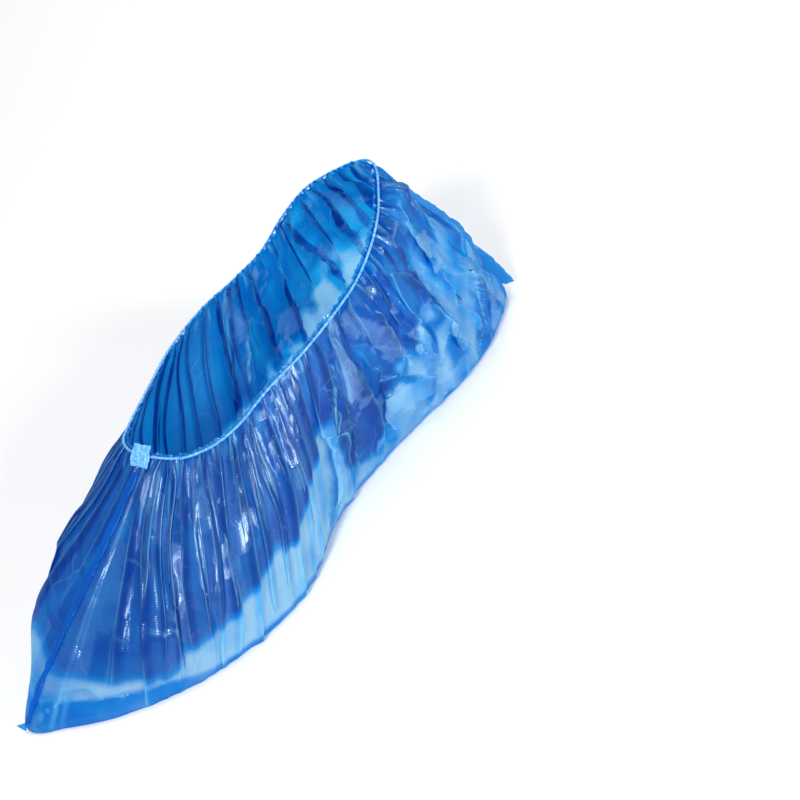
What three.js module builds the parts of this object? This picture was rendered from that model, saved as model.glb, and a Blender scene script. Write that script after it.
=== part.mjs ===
// Shoe cover of thin blue film, empty, keeping the form it has when it is worn.
// Millimetres, +Z up, toe towards -Y, the wearer's left side towards +X.
// The flat underside lies at z = 0. Every length in a table is a share of a size named here.
import * as THREE from 'three';

// Sizes of the whole cover
const LENGTH = 346;         // toe corner to heel corner
const SOLE_WIDTH = 124;     // widest place, at the ball of the foot
const MOUTH_LENGTH = 187;   // front end to heel end of the mouth
const MOUTH_WIDTH = 76;     // widest place of the mouth
const MOUTH_START = 119;    // toe corner to front end of the mouth
const HEEL_HEIGHT = 117;    // floor to the mouth's edge at the heel

// Film
const FILM_WALL = 1;        // thickest film that is still called thin; the real one is far thinner
const SOLE_ROUND = 6;       // rounding between side and underside
const GATHER_DEPTH = 1.9;   // crest of a gather above the smooth side
const FRILL_HEIGHT = 3.2;   // film that stands beyond the elastic

// Elastic, tab and sealed seams
const ELASTIC_RADIUS = 0.9;
const PIECE_GAP = 0.3;      // air between neighbouring pieces
const TAB_WIDTH = 11;
const TAB_HEIGHT = 10.5;
const TAB_THICKNESS = 1;
const TAB_TURN = 16;        // degrees the tab sits askew
const SEAM_WIDTH = 4;
const SEAM_THICKNESS = 1;
const FLAP_REACH = 6;       // how far the front seam's end sticks out beyond the toe corner
const HEEL_FIN = 3;         // how far the sealed edge stands out at the heel
const HEEL_EAR = 12.5;       // the same at the heel's bottom corner

// Mesh of the film
const COLUMNS_PER_ROW = 6;  // columns between two rows of a section table
const SIDE_RINGS = 11;
const CORNER_RINGS = 2;
const SOLE_RINGS = 2;

// Sections of the side facing +X, from the toe seam to the heel seam. The mouth's edge:
// mAlong share of MOUTH_LENGTH, mAcross share of half MOUTH_WIDTH, mUp share of HEEL_HEIGHT.
// The sole's edge: sAlong share of LENGTH, sAcross share of half SOLE_WIDTH.
// belly: how far the side swells out, share of HEEL_HEIGHT. low: where it swells most, from
// the mouth (0) to the sole (1).
const LEFT_SECTIONS = [
  { mAlong: 0.003, mAcross: 0.16, mUp: 0.728, sAlong: -0.006, sAcross: -0.21, belly: 0.030, low: 0.75 },
  { mAlong: 0.016, mAcross: 0.32, mUp: 0.722, sAlong: 0.030, sAcross: 0.12, belly: 0.050, low: 0.70 },
  { mAlong: 0.036, mAcross: 0.48, mUp: 0.704, sAlong: 0.075, sAcross: 0.42, belly: 0.080, low: 0.60 },
  { mAlong: 0.070, mAcross: 0.63, mUp: 0.684, sAlong: 0.138, sAcross: 0.70, belly: 0.100, low: 0.55 },
  { mAlong: 0.134, mAcross: 0.79, mUp: 0.675, sAlong: 0.208, sAcross: 0.92, belly: 0.105, low: 0.50 },
  { mAlong: 0.214, mAcross: 0.90, mUp: 0.692, sAlong: 0.295, sAcross: 1.05, belly: 0.090, low: 0.50 },
  { mAlong: 0.316, mAcross: 0.97, mUp: 0.735, sAlong: 0.382, sAcross: 1.04, belly: 0.060, low: 0.45 },
  { mAlong: 0.449, mAcross: 1.00, mUp: 0.752, sAlong: 0.491, sAcross: 0.77, belly: 0.035, low: 0.45 },
  { mAlong: 0.583, mAcross: 0.99, mUp: 0.778, sAlong: 0.601, sAcross: 0.70, belly: 0.030, low: 0.45 },
  { mAlong: 0.700, mAcross: 0.95, mUp: 0.812, sAlong: 0.711, sAcross: 0.72, belly: 0.045, low: 0.45 },
  { mAlong: 0.813, mAcross: 0.84, mUp: 0.880, sAlong: 0.821, sAcross: 0.75, belly: 0.060, low: 0.45 },
  { mAlong: 0.909, mAcross: 0.61, mUp: 0.949, sAlong: 0.922, sAcross: 0.62, belly: 0.060, low: 0.45 },
  { mAlong: 1.000, mAcross: 0.10, mUp: 1.000, sAlong: 1.000, sAcross: 0.27, belly: 0.032, low: 0.45 },
];
// The same for the side facing -X, again from toe to heel, without the two seams.
const RIGHT_SECTIONS = [
  { mAlong: 0.002, mAcross: -0.10, mUp: 0.733, sAlong: 0.030, sAcross: -0.43, belly: 0.055, low: 0.75 },
  { mAlong: 0.025, mAcross: -0.39, mUp: 0.712, sAlong: 0.078, sAcross: -0.65, belly: 0.088, low: 0.70 },
  { mAlong: 0.070, mAcross: -0.63, mUp: 0.684, sAlong: 0.140, sAcross: -0.81, belly: 0.110, low: 0.62 },
  { mAlong: 0.134, mAcross: -0.79, mUp: 0.684, sAlong: 0.208, sAcross: -0.93, belly: 0.100, low: 0.60 },
  { mAlong: 0.214, mAcross: -0.90, mUp: 0.705, sAlong: 0.295, sAcross: -0.99, belly: 0.085, low: 0.55 },
  { mAlong: 0.316, mAcross: -0.97, mUp: 0.750, sAlong: 0.382, sAcross: -0.95, belly: 0.065, low: 0.50 },
  { mAlong: 0.449, mAcross: -0.98, mUp: 0.785, sAlong: 0.491, sAcross: -0.77, belly: 0.045, low: 0.45 },
  { mAlong: 0.583, mAcross: -0.97, mUp: 0.785, sAlong: 0.601, sAcross: -0.68, belly: 0.040, low: 0.45 },
  { mAlong: 0.700, mAcross: -0.94, mUp: 0.800, sAlong: 0.711, sAcross: -0.68, belly: 0.050, low: 0.45 },
  { mAlong: 0.813, mAcross: -0.84, mUp: 0.885, sAlong: 0.821, sAcross: -0.65, belly: 0.060, low: 0.45 },
  { mAlong: 0.909, mAcross: -0.58, mUp: 0.955, sAlong: 0.922, sAcross: -0.40, belly: 0.060, low: 0.45 },
];

// Gathers follow each other round the mouth in this order. depth: share of GATHER_DEPTH,
// reach: how far down the side it runs, share of the side's height.
const GATHERS = [
  { depth: 1.00, reach: 0.95 },
  { depth: 0.65, reach: 0.60 },
  { depth: 0.90, reach: 0.85 },
  { depth: 0.50, reach: 0.45 },
  { depth: 0.80, reach: 0.90 },
];

// Broad hollows and swells pressed into the sides. at: place between the toe seam (0) and the
// heel seam (1), down: place between mouth (0) and sole (1), wide and tall: half sizes in the
// same shares, depth: share of HEEL_HEIGHT, negative for a swell, side: +1 for +X, -1 for -X.
const DENTS = [
  { side: 1, at: 0.60, down: 0.55, wide: 0.070, tall: 0.30, depth: 0.040 },
  { side: 1, at: 0.70, down: 0.40, wide: 0.060, tall: 0.25, depth: -0.025 },
  { side: 1, at: 0.79, down: 0.62, wide: 0.055, tall: 0.28, depth: 0.035 },
  { side: 1, at: 0.88, down: 0.50, wide: 0.050, tall: 0.30, depth: -0.025 },
  { side: 1, at: 0.94, down: 0.72, wide: 0.035, tall: 0.20, depth: 0.025 },
  { side: -1, at: 0.58, down: 0.50, wide: 0.070, tall: 0.30, depth: 0.035 },
  { side: -1, at: 0.72, down: 0.60, wide: 0.060, tall: 0.25, depth: -0.025 },
  { side: -1, at: 0.84, down: 0.50, wide: 0.060, tall: 0.30, depth: 0.035 },
];

const sections = LEFT_SECTIONS.concat(RIGHT_SECTIONS.slice().reverse());
const columns = sections.length * COLUMNS_PER_ROW;
const half = columns / 2;

// Smooth closed curve through one column of the section tables.
function smooth(name, column) {
  const n = sections.length;
  const place = column / COLUMNS_PER_ROW;
  const k = Math.floor(place);
  const f = place - k;
  const value = (i) => sections[(k + i + n) % n][name];
  const [a, b, c, d] = [value(-1), value(0), value(1), value(2)];
  return b + 0.5 * f * (c - a + f * (2 * a - 5 * b + 4 * c - d + f * (3 * (b - c) + d - a)));
}

const up = new THREE.Vector3(0, 0, 1);

function mouthPoint(column) {
  return new THREE.Vector3(
    smooth('mAcross', column) * MOUTH_WIDTH / 2,
    MOUTH_START + smooth('mAlong', column) * MOUTH_LENGTH,
    smooth('mUp', column) * HEEL_HEIGHT);
}

function solePoint(column) {
  return new THREE.Vector3(
    smooth('sAcross', column) * SOLE_WIDTH / 2, smooth('sAlong', column) * LENGTH, 0);
}

// The side before it is gathered: a straight line from mouth to sole, swollen by its belly.
function plainSide(column, down) {
  return mouthPoint(column).lerp(solePoint(column), down);
}

function outward(column, down) {
  const along = plainSide(column + 0.5, down).sub(plainSide(column - 0.5, down));
  const drop = solePoint(column).sub(mouthPoint(column));
  return drop.cross(along).normalize();
}

const smoothStep = (a, b, x) => {
  const t = Math.min(1, Math.max(0, (x - a) / (b - a)));
  return t * t * (3 - 2 * t);
};

// Distance from the nearer seam as a share of the way between the two seams.
const seamDistance = (column) => Math.min(column, Math.abs(column - half), columns - column) / half;

// Height of the gathers above the smooth side. It is nothing at the elastic and at the seams.
function gather(column, down) {
  const fold = Math.floor(column / 4);
  const row = GATHERS[fold % GATHERS.length];
  const wave = Math.cos((column % 4) * Math.PI / 2 + 0.6);
  const rise = smoothStep(0, 0.16, down) * (1 - smoothStep(row.reach * 0.4, row.reach, down));
  return GATHER_DEPTH * row.depth * wave * rise * smoothStep(0, 0.06, seamDistance(column));
}

function dent(column, down) {
  const side = column <= half ? 1 : -1;
  const at = (column <= half ? column : columns - column) / half;
  let sum = 0;
  for (const row of DENTS) {
    if (row.side !== side) continue;
    const reach = Math.hypot((at - row.at) / row.wide, (down - row.down) / row.tall);
    if (reach < 1) sum -= row.depth * HEEL_HEIGHT * (1 - reach * reach) ** 2;
  }
  return sum;
}

function sidePoint(column, down) {
  const power = Math.log(0.5) / Math.log(smooth('low', column));
  const swell = smooth('belly', column) * HEEL_HEIGHT * Math.sin(Math.PI * down ** power);
  const height = swell + gather(column, down) + dent(column, down);
  return plainSide(column, down).addScaledVector(outward(column, down), height);
}

// Middle line of the underside, on which the columns of both sides end.
function spinePoint(column) {
  const other = (columns - column) % columns;
  const middle = solePoint(column).add(solePoint(other)).multiplyScalar(0.5);
  const inset = 2.2 * SOLE_ROUND;
  middle.y = Math.min(LENGTH - inset, Math.max(inset, middle.y));
  const place = Math.min(column, other) / half;
  middle.y = inset + (LENGTH - 2 * inset) * place;
  return middle;
}

// One column of the outer surface, from the frill's edge to the middle of the underside.
function columnPoints(column) {
  const points = [];
  const mouth = mouthPoint(column);
  const sole = solePoint(column);
  const drop = mouth.distanceTo(sole);
  const frill = mouth.clone().addScaledVector(sole.clone().sub(mouth).normalize(), -FRILL_HEIGHT);
  const wave = 0.35 * Math.cos(column * Math.PI / 2);
  points.push(frill.addScaledVector(outward(column, 0), 0.4 + wave));
  const last = 1 - 1.3 * SOLE_ROUND / drop;
  for (let j = 0; j <= SIDE_RINGS; j += 1) {
    points.push(sidePoint(column, last * (j / SIDE_RINGS) ** 1.25));
  }
  const spine = spinePoint(column);
  const start = points[points.length - 1].clone();
  const end = sole.clone().add(spine.clone().sub(sole).setLength(SOLE_ROUND));
  for (let j = 1; j <= CORNER_RINGS; j += 1) {
    const f = j / (CORNER_RINGS + 1);
    points.push(start.clone().multiplyScalar((1 - f) ** 2)
      .addScaledVector(sole, 2 * f * (1 - f)).addScaledVector(end, f * f));
  }
  for (let j = 0; j <= SOLE_RINGS; j += 1) points.push(end.clone().lerp(spine, j / SOLE_RINGS));
  return points;
}

// A named mesh whose faces look outwards, whichever way round they were listed.
function meshFrom(name, points, faces, material) {
  const volume = faces.reduce(
    (sum, [a, b, c]) => sum + points[a].dot(points[b].clone().cross(points[c])), 0);
  if (volume < 0) faces.forEach((face) => face.reverse());
  const geometry = new THREE.BufferGeometry();
  geometry.setAttribute('position', new THREE.Float32BufferAttribute(points.flatMap((p) => p.toArray()), 3));
  geometry.setIndex(faces.flat());
  geometry.computeVertexNormals();
  const mesh = new THREE.Mesh(geometry, material);
  mesh.name = name;
  return mesh;
}

// Film: the outer surface, the same surface moved inwards by the wall, and the frill's edge.
const grid = [];
for (let i = 0; i < columns; i += 1) grid.push(columnPoints(i));
const rings = grid[0].length;
const lastRing = rings - 1;
const outer = grid.flat();
const shared = (i, j) => (j === lastRing && i > half ? columns - i : i) * rings + j;
const outerFaces = [];
for (let i = 0; i < columns; i += 1) {
  const k = (i + 1) % columns;
  for (let j = 0; j < lastRing; j += 1) {
    const [a, b, c, d] = [shared(i, j), shared(k, j), shared(k, j + 1), shared(i, j + 1)];
    if (i < half) outerFaces.push([a, d, c], [a, c, b]);
    else outerFaces.push([a, d, b], [b, d, c]);
  }
}

const normals = outer.map(() => new THREE.Vector3());
const faceNormals = outerFaces.map(([a, b, c]) => {
  const n = outer[b].clone().sub(outer[a]).cross(outer[c].clone().sub(outer[a]));
  for (const v of [a, b, c]) normals[v].add(n);
  return n.normalize();
});
normals.forEach((n) => n.normalize());
const stretch = outer.map(() => 1);
outerFaces.forEach((face, f) => {
  for (const v of face) stretch[v] = Math.max(stretch[v], Math.min(1.6, 1 / normals[v].dot(faceNormals[f])));
});
const inner = outer.map((p, v) => p.clone().addScaledVector(normals[v], -FILM_WALL * stretch[v]));
outer.forEach((p, v) => {
  if (p.z < 1e-6) inner[v].z = FILM_WALL;
});

const count = outer.length;
const filmFaces = outerFaces.concat(outerFaces.map(([a, b, c]) => [a + count, c + count, b + count]));
for (let i = 0; i < columns; i += 1) {
  const [a, b] = [shared(i, 0), shared((i + 1) % columns, 0)];
  filmFaces.push([a, b, b + count], [a, b + count, a + count]);
}
const filmMaterial = new THREE.MeshStandardMaterial({ color: 0x0d6fdc, roughness: 0.25, metalness: 0 });
const film = meshFrom('film_body', outer.concat(inner), filmFaces, filmMaterial);

// A bar with a closed cross-section carried along a path. rings of points, closed or capped.
function sweep(sectionsList, closed) {
  const m = sectionsList[0].length;
  const faces = [];
  const n = sectionsList.length;
  for (let i = 0; i < (closed ? n : n - 1); i += 1) {
    const k = (i + 1) % n;
    for (let j = 0; j < m; j += 1) {
      const [a, b] = [i * m + j, i * m + (j + 1) % m];
      const [c, d] = [k * m + (j + 1) % m, k * m + j];
      faces.push([a, b, c], [a, c, d]);
    }
  }
  if (!closed) {
    for (let j = 1; j < m - 1; j += 1) {
      faces.push([0, j + 1, j]);
      const e = (n - 1) * m;
      faces.push([e, e + j, e + j + 1]);
    }
  }
  return faces;
}

// Elastic: a thin round cord outside the film, just below the frill.
const cordRings = [];
for (let i = 0; i < columns; i += 1) {
  const out = outward(i, 0);
  const along = mouthPoint(i + 0.5).sub(mouthPoint(i - 0.5)).normalize();
  const rise = out.clone().cross(along).normalize();
  const centre = mouthPoint(i).addScaledVector(out, 1.25 * ELASTIC_RADIUS + PIECE_GAP);
  const ring = [];
  for (let j = 0; j < 5; j += 1) {
    const a = j / 5 * 2 * Math.PI;
    ring.push(centre.clone().addScaledVector(out, -Math.cos(a) * ELASTIC_RADIUS)
      .addScaledVector(rise, Math.sin(a) * ELASTIC_RADIUS));
  }
  cordRings.push(ring);
}
const elasticMaterial = new THREE.MeshStandardMaterial({ color: 0x6fd0f5, roughness: 0.55, metalness: 0 });
const elastic = meshFrom('elastic_band', cordRings.flat(), sweep(cordRings, true), elasticMaterial);

// One cross-section of a flat strip: four corners round a centre.
function flatSection(centre, across, thick) {
  return [[-1, -1], [1, -1], [1, 1], [-1, 1]].map(([a, b]) => centre.clone()
    .addScaledVector(across, a).addScaledVector(thick, b));
}

// Front tab: a small welded plate over the ends of the elastic, a little askew.
const tabOut = outward(0, 0.02);
const tabDown = solePoint(0).sub(mouthPoint(0)).normalize();
tabDown.addScaledVector(tabOut, -tabDown.dot(tabOut)).normalize()
  .applyAxisAngle(tabOut, THREE.MathUtils.degToRad(TAB_TURN));
const tabAcross = tabOut.clone().cross(tabDown);
const tabCentre = mouthPoint(0).addScaledVector(
  tabOut, 2.25 * ELASTIC_RADIUS + 2 * PIECE_GAP + TAB_THICKNESS / 2 + 0.2);
const tabSections = [-0.55, -0.45, 0.45, 0.5].map((share, k) => flatSection(
  tabCentre.clone().addScaledVector(tabDown, share * TAB_HEIGHT),
  tabAcross.clone().multiplyScalar(TAB_WIDTH / 2 * [0.75, 1, 1, 0.9][k]),
  tabOut.clone().multiplyScalar(TAB_THICKNESS / 2)));
const tabMaterial = new THREE.MeshStandardMaterial({ color: 0x62baf5, roughness: 0.7, metalness: 0 });
const tab = meshFrom('front_tab', tabSections.flat(), sweep(tabSections, false), tabMaterial);

// Front seam: the sealed edge, pressed flat on the film from the tab to the toe corner, where
// its end sticks out as a small flap.
const seamSections = [];
const seamStart = 0.10;
const seamEnd = 0.90;
for (let k = 0; k <= 14; k += 1) {
  const down = seamStart + (seamEnd - seamStart) * k / 14;
  const out = outward(0, down);
  const along = plainSide(0.5, down).sub(plainSide(-0.5, down)).normalize();
  seamSections.push(flatSection(
    sidePoint(0, down).addScaledVector(out, PIECE_GAP + SEAM_THICKNESS / 2 + 0.15),
    along.multiplyScalar(SEAM_WIDTH / 2), out.multiplyScalar(SEAM_THICKNESS / 2)));
}
const flapTip = solePoint(0).addScaledVector(new THREE.Vector3(-0.6, -0.25, 0.75).normalize(), FLAP_REACH);
seamSections.push(flatSection(flapTip, new THREE.Vector3(SEAM_WIDTH / 6, 0, 0),
  new THREE.Vector3(0, -1, 1).setLength(SEAM_THICKNESS / 2)));
const frontSeam = meshFrom('front_seam', seamSections.flat(), sweep(seamSections, false), filmMaterial.clone());

// Heel seam: the same sealed edge standing out as a fin, with the corner as a wide ear.
// down: place between mouth and sole, out: share of HEEL_EAR, lean: how far it bends to +X.
const FIN = [
  { down: 0.05, out: 0.08, lean: 0.0 }, { down: 0.20, out: 0.20, lean: 0.0 },
  { down: 0.35, out: 0.32, lean: 0.0 }, { down: 0.49, out: 0.50, lean: 0.0 },
  { down: 0.60, out: 0.62, lean: 0.1 }, { down: 0.66, out: 0.62, lean: 0.2 },
  { down: 0.70, out: 0.46, lean: 0.4 }, { down: 0.76, out: 0.66, lean: 0.7 },
  { down: 0.83, out: 0.95, lean: 1.0 }, { down: 0.89, out: 1.12, lean: 1.3 },
  { down: 0.93, out: 0.62, lean: 1.3 },
];
const finSections = FIN.map(({ down, out, lean }) => {
  const normal = outward(half, down);
  const along = plainSide(half - 0.5, down).sub(plainSide(half + 0.5, down)).normalize();
  const reach = Math.max(HEEL_FIN * 0.3, out * HEEL_EAR);
  const foot = sidePoint(half, down).addScaledVector(normal, PIECE_GAP + 0.2);
  const tip = normal.clone().addScaledVector(along, lean).addScaledVector(up, -lean).setLength(reach);
  return flatSection(foot.addScaledVector(tip, 0.5),
    along.multiplyScalar(SEAM_THICKNESS / 2), tip.multiplyScalar(0.5));
});
const heelSeam = meshFrom('heel_seam', finSections.flat(), sweep(finSections, false), filmMaterial.clone());

// The cover stands with the middle of its bounding box over the origin.
const group = new THREE.Group();
group.name = 'shoe_cover';
group.add(film, elastic, tab, frontSeam, heelSeam);
const middle = new THREE.Box3().setFromObject(group).getCenter(new THREE.Vector3());
for (const mesh of group.children) mesh.geometry.translate(-middle.x, -middle.y, 0);
export default group;
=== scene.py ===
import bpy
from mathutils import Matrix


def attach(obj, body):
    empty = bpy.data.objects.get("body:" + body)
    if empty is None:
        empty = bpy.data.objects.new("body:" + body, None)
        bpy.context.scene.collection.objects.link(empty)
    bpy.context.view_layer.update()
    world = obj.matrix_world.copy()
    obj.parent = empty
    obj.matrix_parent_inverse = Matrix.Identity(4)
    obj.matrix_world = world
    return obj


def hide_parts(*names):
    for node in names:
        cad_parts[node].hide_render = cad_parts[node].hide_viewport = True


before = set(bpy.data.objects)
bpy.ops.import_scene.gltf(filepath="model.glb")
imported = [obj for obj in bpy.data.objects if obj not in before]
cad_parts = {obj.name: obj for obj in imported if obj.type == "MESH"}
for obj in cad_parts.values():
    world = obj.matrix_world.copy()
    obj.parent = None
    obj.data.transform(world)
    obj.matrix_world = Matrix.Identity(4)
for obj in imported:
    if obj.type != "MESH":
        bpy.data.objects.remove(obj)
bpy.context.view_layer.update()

import math
import bpy
import numpy as np
from mathutils import Matrix, Vector

# Film envelope
# One sheet of thin embossed blue film, 0.40 m by 0.30 m, folded along the sole and heat sealed at
# toe and heel. The elastic gathers its open edge, so the sides fall in flat pleats that overlap
# below the hem and run out towards the sole; the loose rear half is crumpled.
MOUTH_LENGTH, MOUTH_WIDTH, MOUTH_START = 0.187, 0.076, 0.119
SOLE_LENGTH, SOLE_WIDTH, HEEL_HEIGHT = 0.346, 0.124, 0.117
MIDDLE = Vector((0.001869, 0.173112, 0.0))   # the toe corner's distance from the middle of the box
FLAT_LENGTH, FLAT_WIDTH = 0.400, 0.300
SOLE_INSET = 0.0132                          # how far the sole's middle line stops from its ends
SOLE_ROUND = 0.006

# mouth edge along, across, up; sole edge along, across; swelling and where it is greatest
LEFT = [
    (0.003, 0.16, 0.728, -0.006, -0.21, 0.030, 0.75),
    (0.016, 0.32, 0.722, 0.030, 0.12, 0.050, 0.70),
    (0.036, 0.48, 0.704, 0.075, 0.42, 0.080, 0.60),
    (0.070, 0.63, 0.684, 0.138, 0.70, 0.100, 0.55),
    (0.134, 0.79, 0.675, 0.208, 0.92, 0.105, 0.50),
    (0.214, 0.90, 0.692, 0.295, 1.05, 0.090, 0.50),
    (0.316, 0.97, 0.735, 0.382, 1.04, 0.060, 0.45),
    (0.449, 1.00, 0.752, 0.491, 0.77, 0.035, 0.45),
    (0.583, 0.99, 0.778, 0.601, 0.70, 0.030, 0.45),
    (0.700, 0.95, 0.812, 0.711, 0.72, 0.045, 0.45),
    (0.813, 0.84, 0.880, 0.821, 0.75, 0.060, 0.45),
    (0.909, 0.61, 0.949, 0.922, 0.62, 0.060, 0.45),
    (1.000, 0.10, 1.000, 1.000, 0.27, 0.032, 0.45),
]
RIGHT = [
    (0.002, -0.10, 0.733, 0.030, -0.43, 0.055, 0.75),
    (0.025, -0.39, 0.712, 0.078, -0.65, 0.088, 0.70),
    (0.070, -0.63, 0.684, 0.140, -0.81, 0.110, 0.62),
    (0.134, -0.79, 0.684, 0.208, -0.93, 0.100, 0.60),
    (0.214, -0.90, 0.705, 0.295, -0.99, 0.085, 0.55),
    (0.316, -0.97, 0.750, 0.382, -0.95, 0.065, 0.50),
    (0.449, -0.98, 0.785, 0.491, -0.77, 0.045, 0.45),
    (0.583, -0.97, 0.785, 0.601, -0.68, 0.040, 0.45),
    (0.700, -0.94, 0.800, 0.711, -0.68, 0.050, 0.45),
    (0.813, -0.84, 0.885, 0.821, -0.65, 0.060, 0.45),
    (0.909, -0.58, 0.955, 0.922, -0.40, 0.060, 0.45),
]
SECTIONS = np.array(LEFT + RIGHT[::-1])
ROWS = len(SECTIONS)
HALF = ROWS // 2


def section(rows):
    """The seven measures at these places round the cover, 0 at the toe seam, 12 at the heel."""
    rows = np.atleast_1d(np.asarray(rows, float))
    k = np.floor(rows).astype(int)
    f = (rows - k)[:, None]
    a, b, c, d = (SECTIONS[(k + i) % ROWS] for i in (-1, 0, 1, 2))
    return b + 0.5 * f * (c - a + f * (2 * a - 5 * b + 4 * c - d + f * (3 * (b - c) + d - a)))


def mouth_point(rows):
    s = section(rows)
    return np.stack([s[:, 1] * MOUTH_WIDTH / 2 - MIDDLE.x,
                     MOUTH_START + s[:, 0] * MOUTH_LENGTH - MIDDLE.y,
                     s[:, 2] * HEEL_HEIGHT], 1)


def sole_point(rows):
    s = section(rows)
    return np.stack([s[:, 4] * SOLE_WIDTH / 2 - MIDDLE.x,
                     s[:, 3] * SOLE_LENGTH - MIDDLE.y, 0 * s[:, 0]], 1)


def unit(v):
    return v / np.maximum(np.linalg.norm(v, axis=-1, keepdims=True), 1e-12)


def outward(rows, down):
    """Outward normal of the unswollen side."""
    along = ((mouth_point(rows + 0.08) - mouth_point(rows - 0.08)) * (1 - down)
             + (sole_point(rows + 0.08) - sole_point(rows - 0.08)) * down)
    return unit(np.cross(sole_point(rows) - mouth_point(rows), along))


def side_point(rows, down):
    """A point on the smooth side, down from the mouth (0) to the sole's edge (1)."""
    s = section(rows)
    power = np.log(0.5) / np.log(s[:, 6:7])
    swell = s[:, 5:6] * HEEL_HEIGHT * np.sin(np.pi * down ** power)
    return mouth_point(rows) * (1 - down) + sole_point(rows) * down + outward(rows, down) * swell


def side_paths(rows, steps=90):
    """Fine paths from the mouth down the side, round the sole's edge and in to its middle line,
    and the share of their length at which the side ends."""
    mouth, sole = mouth_point(rows), sole_point(rows)
    spine = (sole + sole_point(ROWS - rows)) / 2
    place = np.minimum(rows, ROWS - rows) / HALF
    spine[:, 1] = SOLE_INSET + (SOLE_LENGTH - 2 * SOLE_INSET) * place - MIDDLE.y
    drop = np.linalg.norm(mouth - sole, axis=1, keepdims=True)
    last = 1 - 1.3 * SOLE_ROUND / drop
    points = [side_point(rows, last * t) for t in np.linspace(0, 1, steps)]
    start = points[-1]
    inward = spine - sole
    reach = np.minimum(SOLE_ROUND, 0.8 * np.linalg.norm(inward, axis=1, keepdims=True))
    end = sole + unit(inward) * reach
    for f in np.linspace(0, 1, 9)[1:]:
        points.append(start * (1 - f) ** 2 + sole * 2 * f * (1 - f) + end * f * f)
    for f in np.linspace(0, 1, 30)[1:]:
        points.append(end * (1 - f) + spine * f)
    paths = np.stack(points, 1)
    run = np.cumsum(np.linalg.norm(np.diff(paths, axis=1), axis=2), 1)
    return paths, run[:, steps + 2] / run[:, -1]


def even_steps(paths, count):
    """The same paths with evenly spaced points, and their lengths."""
    step = np.linalg.norm(np.diff(paths, axis=1), axis=2)
    run = np.concatenate([np.zeros((len(paths), 1)), np.cumsum(step, 1)], 1)
    out = np.empty((len(paths), count, 3))
    for i in range(len(paths)):
        t = np.linspace(0, run[i, -1], count)
        for axis in range(3):
            out[i, :, axis] = np.interp(t, run[i], paths[i, :, axis])
    return out, run[:, -1]


# the smooth cover as a fine table of points, which every fold is set out from
FORM_ROWS, FORM_STEPS = 720, 141
form_rows = np.arange(FORM_ROWS) * ROWS / FORM_ROWS
form_paths, form_edge = side_paths(form_rows)
form, form_run = even_steps(form_paths, FORM_STEPS)
form_across = np.roll(form, -2, 0) - np.roll(form, 2, 0)
form_normal = unit(np.cross(np.gradient(form, axis=1), form_across))
form_pitch = np.linalg.norm(form_across, axis=2) / 4 * FORM_ROWS / ROWS     # metres to one row


def blend_rows(table, rows):
    """Values of a table with one entry a row of the form, between its rows."""
    r = np.mod(rows, ROWS) * FORM_ROWS / ROWS
    k = np.floor(r).astype(int)
    f = r - k
    return table[k % FORM_ROWS] * (1 - f) + table[(k + 1) % FORM_ROWS] * f


def blend_form(table, rows, place):
    """Values of a table over the form at rows, and at place: 0 hem, 1 sole's edge, 2 middle."""
    edge = blend_rows(form_edge, rows)
    down = np.where(place < 1, place * edge, edge + (place - 1) * (1 - edge))
    r = np.mod(rows, ROWS) * FORM_ROWS / ROWS
    k = np.floor(r).astype(int)
    f = (r - k)[..., None]
    j = np.clip(np.floor(down * (FORM_STEPS - 1)).astype(int), 0, FORM_STEPS - 2)
    g = (down * (FORM_STEPS - 1) - j)[..., None]
    if table.ndim == 2:
        table = table[..., None]
    a, b = k % FORM_ROWS, (k + 1) % FORM_ROWS
    return ((table[a, j] * (1 - g) + table[a, j + 1] * g) * (1 - f)
            + (table[b, j] * (1 - g) + table[b, j + 1] * g) * f)


FLOOR_GAP = 0.0004                                # the film's lowest points over the table


def place_on_form(rows, place, lift):
    """Points of the form raised by lift. What would go under the floor is turned up instead."""
    points = blend_form(form, rows, place) + unit(blend_form(form_normal, rows, place)) * lift[..., None]
    low = FLOOR_GAP + 0.45 * np.abs(points[..., 2] - FLOOR_GAP)
    points[..., 2] = np.where(points[..., 2] < FLOOR_GAP, low, points[..., 2])
    return points


# pleats: one cell of columns each, from the front of a pleat over its two folds to the next one
PLEATS = 31                                       # on each side
CELL = np.array([0, .10, .20, .29, .36, .41, .45, .50, .56, .61, .65, .72, .81, .90])
FOLD_NEAR, FOLD_UNDER = 0.43, 0.63                # where in a cell the film turns back, and on again
CELL_LIFT = np.array([0, .5, 1.2, 1.7, 1.95, 2.0, 1.35, 1.0, .9, .75, .15, 0, 0, 0])
LEAN, LEAN_PLACE = 0.13, 0.08                     # pleats by the toe lean away from its seam
SIDE_RINGS, SOLE_RINGS = 80, 16
FRILL = 0.0022


def waves(seed, count, low, high):
    """Random directions and phases for a smooth noise with wavelengths from low to high."""
    rng = np.random.default_rng(seed)
    angle = rng.uniform(0, 2 * np.pi, count)
    size = 2 * np.pi / rng.uniform(low, high, count)
    return np.stack([np.cos(angle) * size, np.sin(angle) * size, rng.uniform(0, 2 * np.pi, count)])


def smooth_noise(x, y, seed, low, high, count=12):
    """Smooth noise, mostly within -1 to 1, over x and y in the same unit as low and high."""
    total = 0 * x
    for kx, ky, phase in waves(seed, count, low, high).T:
        total = total + np.sin(kx * x + ky * y + phase)
    return total / math.sqrt(count / 2) / 1.6


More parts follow.
